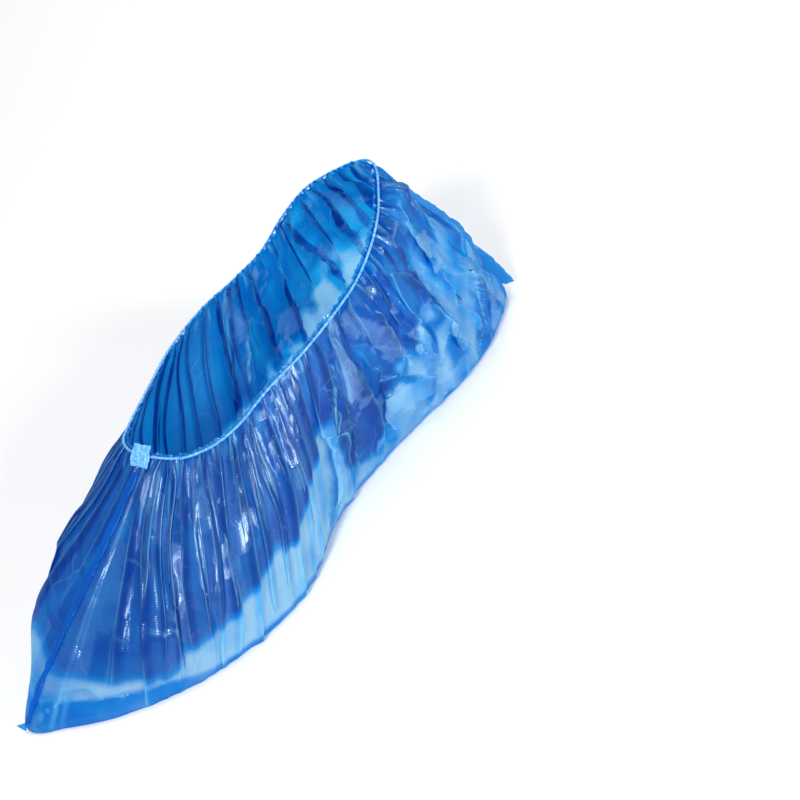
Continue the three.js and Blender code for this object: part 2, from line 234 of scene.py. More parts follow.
def facets(x, y, seed, size_x, size_y, turn=0.0, warp=0.30):
    """Flat facets with sharp creases between them, as in crushed film: their height from about -1
    to 1, a tone from -1 to 1 of each facet, and how near its border is."""
    rng = np.random.default_rng(seed)
    high = rng.uniform(-1, 1, (97, 89))
    lean = rng.integers(0, 2, (97, 89)).astype(bool)
    tones = rng.uniform(-1, 1, (97, 89, 2))
    c, s = math.cos(turn), math.sin(turn)
    even_p, even_q = (x * c + y * s) / size_x + 40, (y * c - x * s) / size_y + 40
    p = even_p + warp * smooth_noise(even_p, even_q, seed + 1, 1.5, 3.5)
    q = even_q + warp * smooth_noise(even_p, even_q, seed + 2, 1.5, 3.5)
    i, j = np.floor(p).astype(int), np.floor(q).astype(int)
    f, g = p - i, q - j
    a, b = high[i % 97, j % 89], high[(i + 1) % 97, j % 89]
    c, d = high[i % 97, (j + 1) % 89], high[(i + 1) % 97, (j + 1) % 89]
    falling = np.where(f > g, a + (b - a) * f + (d - b) * g, a + (c - a) * g + (d - c) * f)
    rising = np.where(f + g < 1, a + (b - a) * f + (c - a) * g,
                      d + (c - d) * (1 - f) + (b - d) * (1 - g))
    falls = lean[i % 97, j % 89]
    half = np.where(falls, f > g, f + g < 1).astype(int)
    slanting = np.where(falls, np.abs(f - g), np.abs(f + g - 1)) * 0.7
    border = np.minimum(np.minimum(np.minimum(f, 1 - f), np.minimum(g, 1 - g)), slanting) * size_x
    return np.where(falls, falling, rising), tones[i % 97, j % 89, half], np.exp(-(border / 0.0007) ** 2)


def step_up(x, low, high):
    t = np.clip((x - low) / (high - low), 0, 1)
    return t * t * (3 - 2 * t)


places = np.concatenate([[-2.0, -1.0], np.linspace(0, 1, SIDE_RINGS) ** 1.18,
                         1 + np.linspace(0, 1, SOLE_RINGS + 1)[1:]])
columns, sides = [], []
for side, seed in ((1, 11), (-1, 12)):
    rng = np.random.default_rng(seed)
    fine_rows = np.linspace(0, HALF, 2001) if side == 1 else np.linspace(ROWS, HALF, 2001)
    middle_line = blend_form(form, fine_rows, np.full(2001, 0.6))
    run = np.concatenate([[0], np.cumsum(np.linalg.norm(np.diff(middle_line, axis=0), axis=1))])
    sides.append((fine_rows, run / run[-1]))
    width = rng.uniform(0.6, 1.4, PLEATS)
    starts = np.concatenate([[0], np.cumsum(width)]) / width.sum()
    for k in range(PLEATS):
        at = (starts[k] + starts[k + 1]) / 2
        forward = rng.random() < 0.72
        t = CELL if forward else np.concatenate([[0.0], np.sort(1 - CELL[1:])])
        s = t if forward else 1 - t
        back_on = 1 - 2 * (s - FOLD_NEAR) / (FOLD_UNDER - FOLD_NEAR)
        turn = np.where(s <= FOLD_NEAR, s / FOLD_NEAR,
                        np.where(s <= FOLD_UNDER, back_on, -(1 - s) / (1 - FOLD_UNDER)))
        turn = turn if forward else -turn
        lift = np.interp(s, CELL, CELL_LIFT)
        front = 1 - step_up(np.array(at), 0.50, 0.66)
        columns.append(dict(
            side=side, share=starts[k] + t * (starts[k + 1] - starts[k]), t=t, turn=turn, lift=lift,
            cell=starts[k + 1] - starts[k], overlap=(0.0030 + 0.0036 * rng.random()) * (0.5 + 0.5 * front),
            ends=(0.85 + 0.45 * rng.random()) * front + (0.16 + 0.45 * rng.random() ** 2) * (1 - front),
            layer=0.0004 + 0.0005 * rng.random(), puff=rng.uniform(-0.2, 1.0), seed=int(rng.integers(1e6)),
            at=at, forward=forward))


def lay_pleat(c):
    """Rows, places and lifts of one pleat's columns on every ring."""
    fine_rows, run = sides[0 if c["side"] == 1 else 1]
    place = np.broadcast_to(places, (len(c["share"]), len(places))).copy()
    top = np.clip(place, 0, 1)
    spread = c["share"][:, None] + np.zeros_like(place)
    lean_away = spread / LEAN_PLACE * np.exp(1 - spread / LEAN_PLACE) * LEAN * top * (1 - 0.4 * top)
    rows = np.interp(spread + lean_away, run, fine_rows)
    size = blend_form(form_pitch, rows, np.clip(place, 0, 2))[..., 0]
    length = blend_rows(form_run * form_edge, rows)
    depth = top * length
    wander = smooth_noise(depth, 0 * depth, c["seed"], 0.03, 0.09, 5)
    overlap = (c["overlap"] * np.clip(1 - top / c["ends"], 0, 1) ** 0.55 * (1 + 0.3 * wander)
               * (0.06 + 0.94 * step_up(depth, -0.001, 0.011)))
    at_seam = step_up(np.array(min(c["at"], 1 - c["at"])), 0.0, 0.035)
    overlap = overlap * at_seam
    cell = c["cell"] * size * HALF
    k = np.clip(overlap / 0.0008, 0, 1)
    swing = (overlap + (FOLD_UNDER - FOLD_NEAR) * cell * k) / 2
    sway = 0.0016 * smooth_noise(depth, 0 * depth, c["seed"] + 1, 0.05, 0.15, 4) * at_seam
    move = c["turn"][:, None] * swing + sway * np.sin(np.pi * top)
    rows = rows + c["side"] * move / size
    lift = c["lift"][:, None] * c["layer"] * np.clip(overlap / 0.001, 0.12, 1) ** 0.7
    lift = lift + c["puff"] * 0.0011 * np.sin(np.pi * c["t"])[:, None] * np.sin(np.pi * top) * at_seam
    t = c["t"] if c["forward"] else 1 - c["t"]
    # the pleat's two folds, painted paler as highlight lines; partly the film's own whitening at the crease
    edge = np.exp(-((t - FOLD_NEAR) / 0.05) ** 2) + 0.6 * np.exp(-((t - FOLD_UNDER) / 0.05) ** 2)
    edge = edge[:, None] * np.clip(overlap / 0.0012, 0, 1) * (0.6 + 0.4 * wander)
    band = (step_up(t, 0.16, 0.22) * (1 - step_up(t, FOLD_NEAR, FOLD_NEAR + 0.04)))[:, None]
    band = band * np.clip(overlap / 0.0025, 0, 1)
    return rows, place, lift, edge, band


shares, rows_all, places_all, lifts_all, side_all, fold_glints_all, bands_all, sheen_all = ([] for _ in range(8))
for c in columns:
    rows, place, lift, edge, band = lay_pleat(c)
    fold_glints_all.append(edge)
    bands_all.append(band)
    sheen_all.append(np.full(len(c["share"]), (c["seed"] % 101) / 100))
    shares.append(c["share"])
    rows_all.append(rows)
    places_all.append(place)
    lifts_all.append(lift)
    side_all.append(np.full(len(c["share"]), c["side"]))
    if c["side"] == 1 and c is columns[PLEATS - 1]:       # the heel seam's own column
        shares.append([1.0])
        rows_all.append(np.full((1, len(places)), float(HALF)))
        places_all.append(places[None])
        lifts_all.append(np.zeros((1, len(places))))
        side_all.append([1])
        fold_glints_all.append(np.zeros((1, len(places))))
        bands_all.append(np.zeros((1, len(places))))
        sheen_all.append([0.0])
left = slice(0, PLEATS * len(CELL) + 1)
right = slice(PLEATS * len(CELL) + 2, None)               # its first column is the toe seam again


def round_the_cover(parts):
    parts = np.concatenate([np.asarray(p) for p in parts])
    return np.concatenate([parts[left], parts[right][::-1]])


share = round_the_cover(shares)
side = round_the_cover(side_all)
rows = round_the_cover(rows_all)
place = round_the_cover(places_all)
lift = round_the_cover(lifts_all)
fold_whitening_and_glint = round_the_cover(fold_glints_all)
band = round_the_cover(bands_all)
# a random share for each pleat of the painted sheen on its panel
panel_sheen = round_the_cover(sheen_all)[:, None]
COLUMNS, RINGS = rows.shape

SIDE_SPAN, SIDE_DEPTH = 0.34, 0.105               # metres to one of share and one of place

# tucks: folds and creases, most of them in the loose rear half, each along a line on a side.
# side, from share and place, to share and place, overlap and reach either side in metres
TUCKS = [
    (1, 0.94, 0.02, 0.93, 0.42, 0.0026, 0.0065), (1, 0.885, 0.06, 0.845, 0.66, 0.0032, 0.0070),
    (1, 0.94, 0.44, 0.875, 0.98, 0.0026, 0.0060), (1, 0.90, 0.55, 0.93, 1.02, 0.0018, 0.0050),
    (1, 0.76, 0.12, 0.81, 0.42, 0.0036, 0.0075), (1, 0.81, 0.38, 0.79, 1.00, 0.0034, 0.0075),
    (1, 0.73, 0.45, 0.735, 0.80, 0.0030, 0.0060), (1, 0.655, 0.48, 0.65, 0.98, 0.0042, 0.0085),
    (1, 0.60, 0.10, 0.625, 0.95, 0.0044, 0.0085), (1, 0.545, 0.30, 0.50, 1.00, 0.0040, 0.0080),
    (1, 0.57, 0.20, 0.565, 1.00, 0.0034, 0.0070), (1, 0.69, 0.20, 0.70, 0.55, 0.0028, 0.0065),
    (1, 0.002, 1.02, 0.011, 0.83, 0.0006, 0.0026), (1, 0.006, 0.835, 0.072, 0.93, 0.0008, 0.0030),
    (1, 0.84, 0.62, 0.86, 1.00, 0.0026, 0.0060), (1, 0.70, 0.62, 0.61, 0.74, 0.0018, 0.0050),
    (1, 0.932, 0.025, 0.95, 0.40, 0.0012, 0.0055), (1, 0.872, 0.10, 0.872, 0.46, 0.0012, 0.0055),
    (1, 0.907, 0.56, 0.873, 0.93, 0.0014, 0.0055), (1, 0.885, 0.455, 0.833, 0.66, 0.0014, 0.0055),
    (1, 0.795, 0.47, 0.815, 0.98, 0.0016, 0.0060), (1, 0.763, 0.43, 0.720, 0.57, 0.0014, 0.0055),
    (1, 0.660, 0.53, 0.742, 0.79, 0.0016, 0.0060), (1, 0.968, 0.48, 0.900, 0.98, 0.0014, 0.0055),
    (1, 0.820, 0.12, 0.815, 0.38, 0.0014, 0.0055), (1, 0.818, 0.52, 0.775, 0.74, 0.0012, 0.0050),
    (1, 0.535, 0.39, 0.552, 0.70, 0.0014, 0.0055), (1, 0.495, 0.40, 0.560, 0.60, 0.0012, 0.0050),
    (1, 0.105, 0.645, 0.145, 0.575, 0.0007, 0.0035), (1, 0.083, 0.665, 0.130, 0.730, 0.0007, 0.0035),
    (1, 0.112, 0.745, 0.115, 0.610, 0.0007, 0.0035), (-1, 0.90, 0.30, 0.84, 0.60, 0.0014, 0.0055),
    (-1, 0.66, 0.45, 0.74, 0.62, 0.0014, 0.0055), (-1, 0.80, 0.50, 0.82, 0.95, 0.0016, 0.0060),
    (-1, 0.59, 0.35, 0.57, 0.70, 0.0014, 0.0055), (-1, 0.97, 0.45, 0.91, 0.98, 0.0014, 0.0055),
    (-1, 0.55, 0.15, 0.53, 0.95, 0.0038, 0.0080), (-1, 0.62, 0.10, 0.64, 0.85, 0.0040, 0.0085),
    (-1, 0.70, 0.20, 0.68, 0.95, 0.0034, 0.0075), (-1, 0.76, 0.08, 0.80, 0.80, 0.0036, 0.0075),
    (-1, 0.86, 0.05, 0.84, 0.70, 0.0030, 0.0065), (-1, 0.93, 0.10, 0.90, 0.95, 0.0028, 0.0065),
]
for tuck_side, share_a, place_a, share_b, place_b, fold, reach in TUCKS:
    on_side = (side == tuck_side)[:, None]
    ax, ay = (share[:, None] - share_a) * SIDE_SPAN, (place - place_a) * SIDE_DEPTH
    lx, ly = (share_b - share_a) * SIDE_SPAN, (place_b - place_a) * SIDE_DEPTH
    span = math.hypot(lx, ly)
    t = (ax * lx + ay * ly) / span / span
    off = (ax * ly - ay * lx) / span + 0.0012 * smooth_noise(t * 6, 0 * t, int(share_a * 1000), 1.5, 5, 5)
    size = fold * np.clip(np.minimum(t, 1 - t) / 0.22, 0, 1) ** 0.7 * on_side
    z = off / reach
    turn = np.where(np.abs(z) < 0.22, -z / 0.22, np.sign(-z) * np.clip((1 - np.abs(z)) / 0.78, 0, 1))
    rows = rows + side[:, None] * turn * size * (ly / span) / SIDE_SPAN * HALF
    place = place - turn * size * (lx / span) / SIDE_DEPTH
    layer = np.interp(z, [-1, -0.3, -0.18, 0, 0.18, 0.3, 1], [0, 1.0, 1.1, 0.55, 0.15, 0, 0])
    lift = lift + layer * 0.0011 * np.clip(size / 0.0022, 0, 1)
    # the tuck's two folds, painted paler as highlight lines; partly the film's own whitening at the crease
    crease_glint = np.exp(-((z + 0.20) / 0.09) ** 2) + 0.5 * np.exp(-((z - 0.20) / 0.09) ** 2)
    fold_whitening_and_glint = fold_whitening_and_glint + 0.8 * crease_glint * np.clip(size / 0.0008, 0, 1)
    doubled = step_up(z, -1.0, -0.8) * (1 - step_up(z, -0.2, -0.1))
    band = np.maximum(band, doubled * np.clip(size / 0.002, 0, 1))

# gathers under the hem, soft drapes, crushed facets: all over the flat sheet, in metres
GATHER_PITCH = 0.0066
side_length = blend_rows(form_run * form_edge, rows)
flat_along = np.broadcast_to((share * FLAT_LENGTH)[:, None], rows.shape)
depth = np.where(place < 0, place * FRILL / 2,
                 np.where(place < 1, place * side_length,
                          side_length + (place - 1) * blend_rows(form_run * (1 - form_edge), rows)))
x = flat_along * side[:, None] + (side[:, None] < 0) * 3.0
y = depth
calm = step_up(np.minimum(share, 1 - share), 0.0, 0.03)[:, None]
top = np.clip(place, 0, 2)
loose = np.clip((1.02 - top) / 0.2, 0.10, 1) * step_up(y, 0.0, 0.010)
rear = step_up(share, 0.50, 0.64)[:, None] * np.ones_like(x)
gather_size = (0.0009 + 0.0003 * rear) * np.exp(-(np.maximum(y, 0) / (0.008 + 0.003 * rear)) ** 2) * calm
gather_run = x / GATHER_PITCH + 0.35 * smooth_noise(x, 0.3 * y, 21, 0.008, 0.03, 8)
gathers = gather_size * (1 - 2 * np.abs(np.sin(np.pi * gather_run)) ** 0.8)
gathers = gathers * (0.7 + 0.5 * smooth_noise(x, 0 * y, 22, 0.006, 0.02, 6))
drapes = 0.0011 * smooth_noise(x, 0.30 * y, 23, 0.018, 0.045) * loose * calm
small, small_tone, _ = facets(x, y, 31, 0.007, 0.013, 0.25)
middling, middling_tone, _ = facets(x, y, 35, 0.012, 0.026, 0.20)
big, big_tone, big_line = facets(x, y, 41, 0.026, 0.036, 0.55)
small = 0.0008 * small * (0.35 + 0.65 * rear)
middling = 0.0023 * middling * (0.12 + 0.88 * rear)
big = 0.0046 * big * rear
long_ones = 0.0032 * facets(x, y, 51, 0.014, 0.070, -0.30)[0] * step_up(share, 0.56, 0.72)[:, None]
low_front = 0.0014 * facets(x, y, 61, 0.017, 0.024, 0.8)[0] * (1 - rear) * step_up(top, 0.3, 0.7)
# the gathers' ridges and the borders of crushed facets are painted pale as short highlight strokes
ridge_glint = np.clip(1 - 2.6 * np.abs(np.sin(np.pi * gather_run)), 0, 1)
ridge_glint = ridge_glint * np.exp(-(np.maximum(y, 0) / 0.0095) ** 2)
ridge_glint = ridge_glint * step_up(smooth_noise(x, 0 * y, 78, 0.006, 0.02, 6), -0.5, 0.3) * step_up(y, 0.0, 0.001) * calm
fold_whitening_and_glint = np.maximum(fold_whitening_and_glint, ridge_glint)
glint_lines_mask = step_up(smooth_noise(x, y, 77, 0.02, 0.05), -0.1, 0.35) * rear * calm
fold_whitening_and_glint = np.maximum(fold_whitening_and_glint, 0.20 * big_line * glint_lines_mask)
lift = lift + gathers + drapes + (small + middling + big + long_ones + low_front) * loose * calm

# the frill stands over the hem: the two rings with a place under 0
rows = np.where(place < 0, rows[:, 2:3], rows)
lift = np.where(place < 0, (0.2 - 0.3 * place) * 0.0005 * smooth_noise(x, 5 * place, 71, 0.004, 0.012) * calm
                + 0.5 * lift[:, 2:3], lift)
points = place_on_form(rows, np.maximum(place, 0), lift)
hem_up = unit(points[:, 2] - points[:, 5])
frill_high = FRILL * (0.9 + 0.25 * smooth_noise(x[:, 0], y[:, 0], 72, 0.004, 0.02))
points[:, 0] = points[:, 2] + hem_up * frill_high[:, None]
points[:, 1] = (points[:, 0] + points[:, 2]) / 2
normal_at_hem = unit(blend_form(form_normal, rows[:, :2], np.zeros_like(rows[:, :2])))
points[:, :2] += normal_at_hem * (lift[:, :2] - 0.6 * lift[:, 2:3])[..., None]

# the middle line of the sole is shared by both sides
index = np.arange(COLUMNS * RINGS).reshape(COLUMNS, RINGS)
heel = PLEATS * len(CELL)
spine_rows = (points[1:heel, -1] + points[:heel:-1, -1]) / 2
points[1:heel, -1] = spine_rows
index[heel + 1:, -1] = index[heel - 1:0:-1, -1]
faces = []
for i in range(COLUMNS):
    k = (i + 1) % COLUMNS
    for j in range(RINGS - 1):
        faces.append((index[i, j], index[i, j + 1], index[k, j + 1], index[k, j]))
used = np.unique(index)
remap = np.full(COLUMNS * RINGS, -1)
remap[used] = np.arange(len(used))
faces = [[int(remap[v]) for v in face] for face in faces]
film_mesh = bpy.data.meshes.new("film")
film_mesh.from_pydata(points.reshape(-1, 3)[used].tolist(), [], faces)
film_mesh.validate()
film = bpy.data.objects.new("film", film_mesh)
bpy.context.collection.objects.link(film)
film_mesh.polygons.foreach_set("use_smooth", [True] * len(film_mesh.polygons))

flat_uv = film_mesh.uv_layers.new(name="flat_sheet")
corner_uv = np.stack([x, y], -1)
loops = []
for i in range(COLUMNS):
    k = (i + 1) % COLUMNS
    for j in range(RINGS - 1):
        a, b = corner_uv[i], corner_uv[k].copy()
        if abs(a[j, 0] - b[j, 0]) > 0.1:                  # where the two sides meet
            b[:, 0] = a[:, 0] + 0.0004
        loops += [a[j], a[j + 1], b[j + 1], b[j]]
flat_uv.data.foreach_set("uv", np.array(loops).ravel())

# how deep the blue is, by share of the side: above, where many layers hang, and low down,
# with the place where one gives way to the other, on the near side and the far one
DEEP = [(0, 0.90), (0.10, 0.95), (0.45, 1), (0.55, 1), (0.70, 0.98), (0.80, 0.85), (0.88, 0.65), (1, 0.60)]
THIN = [(0, 0.30), (0.03, 0.10), (0.08, 0.02), (0.50, 0.08), (0.60, 0.20), (0.75, 0.12),
        (0.87, 0.36), (1, 0.40)]
NEAR_EDGE = [(0, 0.76), (0.045, 0.84), (0.10, 0.88), (0.15, 0.82), (0.24, 0.745), (0.33, 0.66),
             (0.372, 0.68), (0.40, 0.63), (0.42, 0.53), (0.473, 0.50), (0.508, 0.40), (0.53, 0.47),
             (0.54, 0.80), (0.60, 0.85), (0.64, 0.76), (0.65, 0.57), (0.682, 0.60), (0.733, 0.535),
             (0.79, 0.47), (0.823, 0.45), (0.835, 0.24), (0.865, 0.06), (1, 0.04)]
FAR_EDGE = [(0, 0.76), (0.1, 0.86), (0.5, 0.84), (0.6, 0.76), (0.8, 0.55), (1, 0.04)]
RIM_FROM = [(0, 0.865), (0.10, 0.90), (0.20, 0.945)]
RIM_DEPTH = [(0, 0.50), (0.12, 0.46), (0.25, 0.42), (0.55, 0.40), (0.70, 0.25)]
spread = share[:, None] + 0 * x


def by_share(table):
    """Values all over the film from rows of share and value."""
    stops = np.array(table)
    return np.interp(spread, stops[:, 0], stops[:, 1])


deep, thin = by_share(DEEP), by_share(THIN)
edge_at = np.where(side[:, None] > 0, by_share(NEAR_EDGE), by_share(FAR_EDGE))
cloud = smooth_noise(x, 0.6 * y, 73, 0.02, 0.06)
below = step_up(top + 0.03 * cloud + 0.10 * rear * middling_tone, edge_at - 0.04, edge_at + 0.05)
tones = rear * (0.25 * big_tone + 0.20 * middling_tone + 0.09 * small_tone)
dense = deep + (thin - deep) * below + 0.05 * cloud + tones
dense = dense + 0.30 * band - 0.10 * (1 - rear)
dense = dense + 0.24 * step_up(spread, 0.76, 0.86) * np.clip(1 - top / 0.55, 0, 1)
dense = np.maximum(dense, np.exp(-np.maximum(y, 0) / (0.013 - 0.004 * rear)))
rim_from = by_share(RIM_FROM)
dense = np.maximum(dense, by_share(RIM_DEPTH) * step_up(top, rim_from, rim_from + 0.03))
dense = np.clip(np.maximum(dense, 0.75 * np.exp(-((top - 0.997) / 0.010) ** 2)), 0, 1)
dense = np.maximum(dense, 0.15 * rear)
eased = dense
for again in range(2):
    eased = (np.roll(eased, 1, 0) + 2 * eased + np.roll(eased, -1, 0)) / 4
    eased[:, 1:-1] = (eased[:, :-2] + 2 * eased[:, 1:-1] + eased[:, 2:]) / 4
dense = dense + rear * (eased - dense)
dense[:, :2] *= 0.55

# crushed, frosted patches, each along a line on a side: the film's gloss is a little stronger there, and its
# colour is paler there as a painted sheen of lamp reflections.
# side, from share and place, to share and place, half width in metres, how strong
FROST_AND_SHEEN_PATCHES = [
    (1, 0.075, 0.10, 0.128, 0.385, 0.0060, 0.75), (1, 0.128, 0.385, 0.140, 0.70, 0.0065, 0.65),
    (1, 0.185, 0.095, 0.203, 0.32, 0.0035, 0.75), (1, 0.273, 0.28, 0.270, 0.515, 0.0026, 0.60),
    (1, 0.427, 0.21, 0.405, 0.485, 0.0030, 0.60), (1, 0.015, 0.31, 0.030, 0.60, 0.0040, 0.40),
    (1, 0.598, 0.015, 0.588, 0.42, 0.0046, 1.00), (1, 0.645, 0.13, 0.688, 0.455, 0.0055, 0.90),
    (1, 0.888, 0.11, 0.888, 0.445, 0.0030, 0.60), (1, 0.920, 0.56, 0.883, 0.745, 0.0022, 0.70),
    (1, 0.927, 0.725, 0.885, 0.965, 0.0024, 0.80), (1, 0.735, 0.49, 0.775, 0.465, 0.0040, 0.70),
    (1, 0.642, 0.725, 0.738, 0.785, 0.0085, 0.85), (1, 0.765, 0.875, 0.785, 0.90, 0.0040, 0.80),
    (1, 0.725, 0.825, 0.770, 0.68, 0.0030, 0.60), (-1, 0.10, 0.15, 0.14, 0.65, 0.0060, 0.60),
    (-1, 0.33, 0.12, 0.31, 0.50, 0.0030, 0.60), (-1, 0.55, 0.10, 0.58, 0.40, 0.0045, 0.80),
    (-1, 0.67, 0.55, 0.74, 0.75, 0.0070, 0.80), (-1, 0.86, 0.12, 0.89, 0.50, 0.0030, 0.60),
    (-1, 0.90, 0.60, 0.87, 0.90, 0.0024, 0.70),
]
frost_and_sheen = 0 * x
for frost_side, share_a, place_a, share_b, place_b, half_width, strong in FROST_AND_SHEEN_PATCHES:
    ax, ay = (spread - share_a) * SIDE_SPAN, (top - place_a) * SIDE_DEPTH
    lx, ly = (share_b - share_a) * SIDE_SPAN, (place_b - place_a) * SIDE_DEPTH
    t = np.clip((ax * lx + ay * ly) / (lx * lx + ly * ly), 0, 1)
    torn_edge = 0.15 * smooth_noise(x, y, 75, 0.006, 0.02) + 0.32 * small_tone
    away = np.hypot(ax - t * lx, ay - t * ly) + half_width * torn_edge
    here = strong * (0.75 + 0.25 * small_tone) * (1 - step_up(away, 0.90 * half_width, half_width))
    frost_and_sheen = np.maximum(frost_and_sheen, here * (side == frost_side)[:, None])
# front panels take a painted sheen in random amounts, pleat by pleat, and the highest-toned rear facets take
# it too
frost_and_sheen = np.maximum(frost_and_sheen, 0.38 * (1 - rear) * (1 - band) * panel_sheen * (1 - below))
frost_and_sheen = np.maximum(frost_and_sheen, 0.8 * rear * step_up(small_tone + 0.5 * middling_tone, 0.95, 1.05) * (top < 0.97))
# besides the depth of the blue: the painted highlight lines, and the painted sheen, where the gloss is also a
# little stronger
for label, values in (("hem_density", dense), ("fold_whitening_and_glint", np.clip(fold_whitening_and_glint, 0, 1)), ("frosting_and_sheen", frost_and_sheen)):
    layer = film_mesh.attributes.new(label, "FLOAT", "POINT")
    layer.data.foreach_set("value", values.reshape(-1)[used].astype(float))

# the relief of thin pressed film: small tilted facets with sharp creases, over a fine diamond emboss; it also
# puts out a mask of crease lines, which the film's colour paints pale as highlights
relief = bpy.data.node_groups.new("film_relief", "ShaderNodeTree")
for label, way, kind in (
        ("Place", "INPUT", "NodeSocketVector"), ("Crumple", "INPUT", "NodeSocketFloat"),
        ("Bump Height", "OUTPUT", "NodeSocketFloat"), ("Crease Glint", "OUTPUT", "NodeSocketFloat"),
        ("Mottle", "OUTPUT", "NodeSocketFloat"), ("Speckle", "OUTPUT", "NodeSocketFloat")):
    relief.interface.new_socket(label, in_out=way, socket_type=kind)


def add_node(tree, kind, inputs=(), **settings):
    """A new node with its settings, and its inputs as numbers or as sockets to link."""
    node = tree.nodes.new(kind)
    for key, value in settings.items():
        setattr(node, key, value)
    for key, value in dict(inputs).items():
        if isinstance(value, bpy.types.NodeSocket):
            tree.links.new(value, node.inputs[key])
        else:
            node.inputs[key].default_value = value
    return node


def sums(tree, operation, *values):
    node = add_node(tree, "ShaderNodeMath", dict(enumerate(values)), operation=operation)
    return node.outputs[0]


def vectors(tree, operation, *values):
    node = add_node(tree, "ShaderNodeVectorMath", dict(enumerate(values)), operation=operation)
    return node.outputs["Value" if operation == "DOT_PRODUCT" else "Vector"]


def spans(tree, value, ends, to):
    """A value from one span of numbers mapped to another, and kept inside it."""
    node = add_node(tree, "ShaderNodeMapRange", {"Value": value, "From Min": ends[0], "From Max": ends[1],
                                                 "To Min": to[0], "To Max": to[1]})
    return node.outputs[0]


inside = add_node(relief, "NodeGroupInput")
sheet_place, crumple = inside.outputs["Place"], inside.outputs["Crumple"]
bend = add_node(relief, "ShaderNodeTexNoise", {"Vector": sheet_place, "Scale": 60.0, "Detail": 1.0})
bent = vectors(relief, "MULTIPLY", bend.outputs["Color"], (0.012, 0.012, 0.0))
moved = vectors(relief, "ADD", sheet_place, bent)
long_way = vectors(relief, "MULTIPLY", moved, (1.0, 0.5, 1.0))
cells = add_node(relief, "ShaderNodeTexVoronoi", {"Vector": long_way, "Scale": 140.0},
                 voronoi_dimensions="2D")
apart = vectors(relief, "SUBTRACT", long_way, cells.outputs["Position"])
tilt = vectors(relief, "SUBTRACT", cells.outputs["Color"], (0.5, 0.5, 0.5))
rise = vectors(relief, "DOT_PRODUCT", apart, tilt)
crumpled = sums(relief, "MULTIPLY", sums(relief, "MULTIPLY", rise, 0.36), crumple)
diamonds = []
for way in (0.5, -0.5):
    slanted = add_node(relief, "ShaderNodeMapping", {"Vector": sheet_place, "Rotation": (0, 0, way)})
    lines = add_node(relief, "ShaderNodeTexWave", {"Vector": slanted.outputs[0], "Scale": 300.0},
                     bands_direction="Y")
    diamonds.append(lines.outputs["Fac"])
emboss = sums(relief, "MULTIPLY", sums(relief, "ADD", *diamonds), 0.000022)
speckle = add_node(relief, "ShaderNodeTexNoise", {"Vector": sheet_place, "Scale": 950.0, "Detail": 1.0})
grain = sums(relief, "MULTIPLY", speckle.outputs["Fac"], 0.00007)
height = sums(relief, "ADD", sums(relief, "ADD", crumpled, emboss), grain)
# crease lines over the crushed facets, which the film's colour paints pale as highlights
rim = add_node(relief, "ShaderNodeTexVoronoi", {"Vector": long_way, "Scale": 62.0},
               voronoi_dimensions="2D", feature="DISTANCE_TO_EDGE")
line = spans(relief, rim.outputs["Distance"], (0.0, 0.030), (1.0, 0.0))
shown = spans(relief, bend.outputs["Fac"], (0.50, 0.62), (0.0, 1.0))
crease_glints = sums(relief, "MULTIPLY", sums(relief, "MULTIPLY", line, shown), crumple)
dots = spans(relief, speckle.outputs["Fac"], (0.40, 0.60), (0.45, 1.0))
add_node(relief, "NodeGroupOutput", {"Bump Height": height, "Crease Glint": crease_glints,
                                     "Mottle": bend.outputs["Fac"], "Speckle": dots})

# colours from thin film to deep, of light through it and of its own body; folds are paler, partly the film's
# own whitening and partly painted highlight lines, and frosted patches are paler as a painted sheen
THROUGH_BLUES = ((0.60, 0.92, 0.99), (0.016, 0.49, 0.90), (0.001, 0.18, 0.58))
BODY_BLUES = ((0.50, 0.89, 0.99), (0.004, 0.39, 0.86), (0.0002, 0.100, 0.48))
FOLD_WHITE_AND_GLINT_BLUE, FROST_AND_SHEEN_BLUE = (0.24, 0.76, 0.98, 1), (0.36, 0.62, 0.92, 1)

film_shader = bpy.data.materials.new("blue_film")
film_shader.use_nodes = True
tree = film_shader.node_tree
tree.nodes.clear()
sheet_uv = add_node(tree, "ShaderNodeUVMap", uv_map="flat_sheet")
density = add_node(tree, "ShaderNodeAttribute", attribute_name="hem_density").outputs["Fac"]
# lines along folds, tucks, gathers and facet borders, painted pale as highlights; partly the film's own
# whitening
folded = add_node(tree, "ShaderNodeAttribute", attribute_name="fold_whitening_and_glint").outputs["Fac"]
pressed = add_node(tree, "ShaderNodeGroup", node_tree=relief)
tree.links.new(sheet_uv.outputs["UV"], pressed.inputs["Place"])
pressed.inputs["Crumple"].default_value = 1.0
raised = add_node(tree, "ShaderNodeBump", {"Height": pressed.outputs["Bump Height"], "Distance": 1.0,
                                           "Strength": 1.0}).outputs[0]
# the patches painted with a sheen, where the film also reflects a little more
frosting_and_sheen = add_node(tree, "ShaderNodeAttribute", attribute_name="frosting_and_sheen").outputs["Fac"]
mottle = spans(tree, pressed.outputs["Mottle"], (0.3, 0.7), (-0.14, 0.14))
mottled = add_node(tree, "ShaderNodeMath", {0: density, 1: mottle}, operation="ADD", use_clamp=True)


def blue_ramp(depth_of_blue, blues):
    """A colour from the depth of the blue, at 0, 0.45 and 1."""
    ramp = add_node(tree, "ShaderNodeValToRGB", {"Fac": depth_of_blue})
    points = ramp.color_ramp.elements
    points.new(0.45)
    for point, colour in zip(points, blues):
        point.color = (*colour, 1)
    return ramp.outputs["Color"]


def mixed(factor, a, b):
    node = add_node(tree, "ShaderNodeMix", {"Factor": factor, "A": a, "B": b}, data_type="RGBA")
    return node.outputs["Result"]


